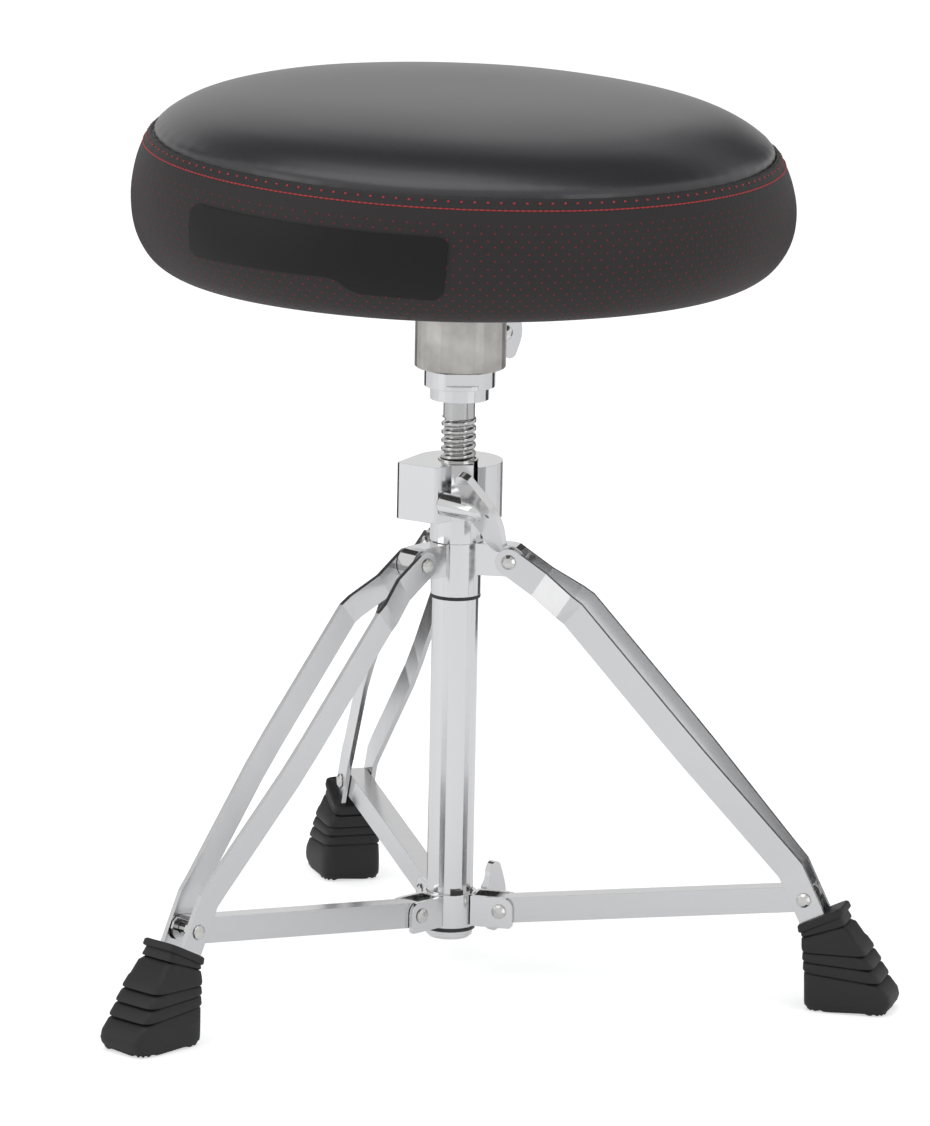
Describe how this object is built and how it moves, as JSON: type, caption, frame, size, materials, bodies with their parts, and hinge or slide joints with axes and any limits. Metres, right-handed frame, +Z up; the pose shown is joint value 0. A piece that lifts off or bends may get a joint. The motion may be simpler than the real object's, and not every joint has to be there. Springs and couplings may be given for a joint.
{
  "type": "drum throne",
  "caption": "Round padded drum throne on a threaded height screw, over a folding tripod with double strip legs and rubber feet.",
  "frame": {"origin": "middle of the footprint at floor level, seen from above, with the feet's soles on z = 0", "axes": "+Z up, +X from the post along leg 1, whose foot points right in the front view; the front is towards -Y"},
  "size_m": [0.4298, 0.4442, 0.4925],
  "materials": {
    "chrome": "bright chrome plate",
    "plated_steel": "turned and zinc plated",
    "satin_casting": "satin cast and turned",
    "black_nylon": "matte black",
    "black_rubber": "moulded, matte",
    "dark_vinyl": "grained charcoal vinyl with dark red stitching",
    "plywood": "black-stained plywood"
  },
  "bodies": {
    "base": {"post_tube": "chrome", "post_end_cap": "chrome", "collar_stop_ring": "black_nylon", "bracket_groove_ring": "black_nylon", "upper_bracket": "chrome", "bracket_pin_1": "plated_steel", "bracket_pin_2": "plated_steel", "bracket_pin_3": "plated_steel", "clamp_casting": "chrome", "threaded_insert": "plated_steel"},
    "thrust_carrier": {"thrust_washer": "plated_steel"},
    "rod": {"threaded_rod": "plated_steel", "lock_ring": "chrome", "rod_collar": "chrome"},
    "seat": {"seat_cushion": "dark_vinyl", "seat_board": "plywood", "seat_hub": "satin_casting", "hub_screw_1": "plated_steel", "hub_screw_2": "plated_steel", "hub_screw_3": "plated_steel", "hub_screw_4": "plated_steel"},
    "hub_wing_screw": {"hub_wing": "chrome", "hub_stud": "plated_steel"},
    "clamp_wing_screw": {"clamp_wing": "chrome", "clamp_stud": "plated_steel"},
    "brace_collar": {"brace_collar": "chrome", "collar_pad": "black_nylon", "collar_rivet_1": "plated_steel", "collar_rivet_2": "plated_steel", "collar_rivet_3": "plated_steel"},
    "collar_wing_screw": {"collar_wing": "chrome", "collar_stud": "plated_steel"},
    "brace_1": {"brace_1": "chrome"},
    "brace_2": {"brace_2": "chrome"},
    "brace_3": {"brace_3": "chrome"},
    "leg_1": {"leg_1_strip_a": "chrome", "leg_1_strip_b": "chrome", "leg_1_pivot_rivet_a": "plated_steel", "leg_1_pivot_rivet_b": "plated_steel", "leg_1_brace_rivet": "plated_steel", "leg_1_foot": "black_rubber"},
    "leg_2": {"leg_2_strip_a": "chrome", "leg_2_strip_b": "chrome", "leg_2_pivot_rivet_a": "plated_steel", "leg_2_pivot_rivet_b": "plated_steel", "leg_2_brace_rivet": "plated_steel", "leg_2_foot": "black_rubber"},
    "leg_3": {"leg_3_strip_a": "chrome", "leg_3_strip_b": "chrome", "leg_3_pivot_rivet_a": "plated_steel", "leg_3_pivot_rivet_b": "plated_steel", "leg_3_brace_rivet": "plated_steel", "leg_3_foot": "black_rubber"}
  },
  "joints": [
    {"name": "height_slide", "type": "slide", "parent": "base", "child": "thrust_carrier", "axis": [0, 0, 1], "range_m": [-0.03, 0.12]},
    {"name": "screw_spin", "type": "hinge", "parent": "thrust_carrier", "child": "rod", "pos_m": [-0.036, 0, 0.2], "axis": [0, 0, 1], "range_deg": [-2350, 9395]},
    {"name": "seat_swivel", "type": "hinge", "parent": "rod", "child": "seat", "pos_m": [-0.036, 0, 0.36], "axis": [0, 0, 1], "continuous": true},
    {"name": "hub_wing_turn", "type": "hinge", "parent": "seat", "child": "hub_wing_screw", "pos_m": [-0.0236, 0.02148, 0.3535], "axis": [0.5, 0.866, 0], "continuous": true},
    {"name": "clamp_wing_turn", "type": "hinge", "parent": "base", "child": "clamp_wing_screw", "pos_m": [-0.03792, -0.02234, 0.2675], "axis": [0.8669, -0.4985, 0], "continuous": true},
    {"name": "collar_slide", "type": "slide", "parent": "base", "child": "brace_collar", "axis": [0, 0, 1], "range_m": [0, 0.1222]},
    {"name": "collar_wing_turn", "type": "hinge", "parent": "brace_collar", "child": "collar_wing_screw", "pos_m": [-0.02863, 0.01277, 0.0375], "axis": [0.5, 0.866, 0], "continuous": true},
    {"name": "brace_hinge_1", "type": "hinge", "parent": "brace_collar", "child": "brace_1", "pos_m": [-0.0061, 0, 0.0386], "axis": [0, 1, 0], "range_deg": [0, 82.5]},
    {"name": "leg_hinge_1", "type": "hinge", "parent": "brace_1", "child": "leg_1", "pos_m": [0.1639, 0, 0.0594], "axis": [0, 1, 0], "range_deg": [-48.5, 0]},
    {"name": "brace_hinge_2", "type": "hinge", "parent": "brace_collar", "child": "brace_2", "pos_m": [-0.05095, 0.02589, 0.0386], "axis": [-0.866, -0.5, 0], "range_deg": [0, 82.5]},
    {"name": "leg_hinge_2", "type": "hinge", "parent": "brace_2", "child": "leg_2", "pos_m": [-0.13595, 0.17312, 0.0594], "axis": [-0.866, -0.5, 0], "range_deg": [-48.5, 0]},
    {"name": "brace_hinge_3", "type": "hinge", "parent": "brace_collar", "child": "brace_3", "pos_m": [-0.05095, -0.02589, 0.0386], "axis": [0.866, -0.5, 0], "range_deg": [0, 82.5]},
    {"name": "leg_hinge_3", "type": "hinge", "parent": "brace_3", "child": "leg_3", "pos_m": [-0.13595, -0.17312, 0.0594], "axis": [0.866, -0.5, 0], "range_deg": [-48.5, 0]}
  ],
  "couplings": [
    {"joint": "screw_spin", "follows": "height_slide", "rad_per_m": 1365.9},
    {"joint": "brace_hinge_1", "follows": "collar_slide", "rad_per_m": 11.758},
    {"joint": "leg_hinge_1", "follows": "collar_slide", "rad_per_m": -6.9031},
    {"joint": "brace_hinge_2", "follows": "collar_slide", "rad_per_m": 11.758},
    {"joint": "leg_hinge_2", "follows": "collar_slide", "rad_per_m": -6.9031},
    {"joint": "brace_hinge_3", "follows": "collar_slide", "rad_per_m": 11.758},
    {"joint": "leg_hinge_3", "follows": "collar_slide", "rad_per_m": -6.9031}
  ]
}
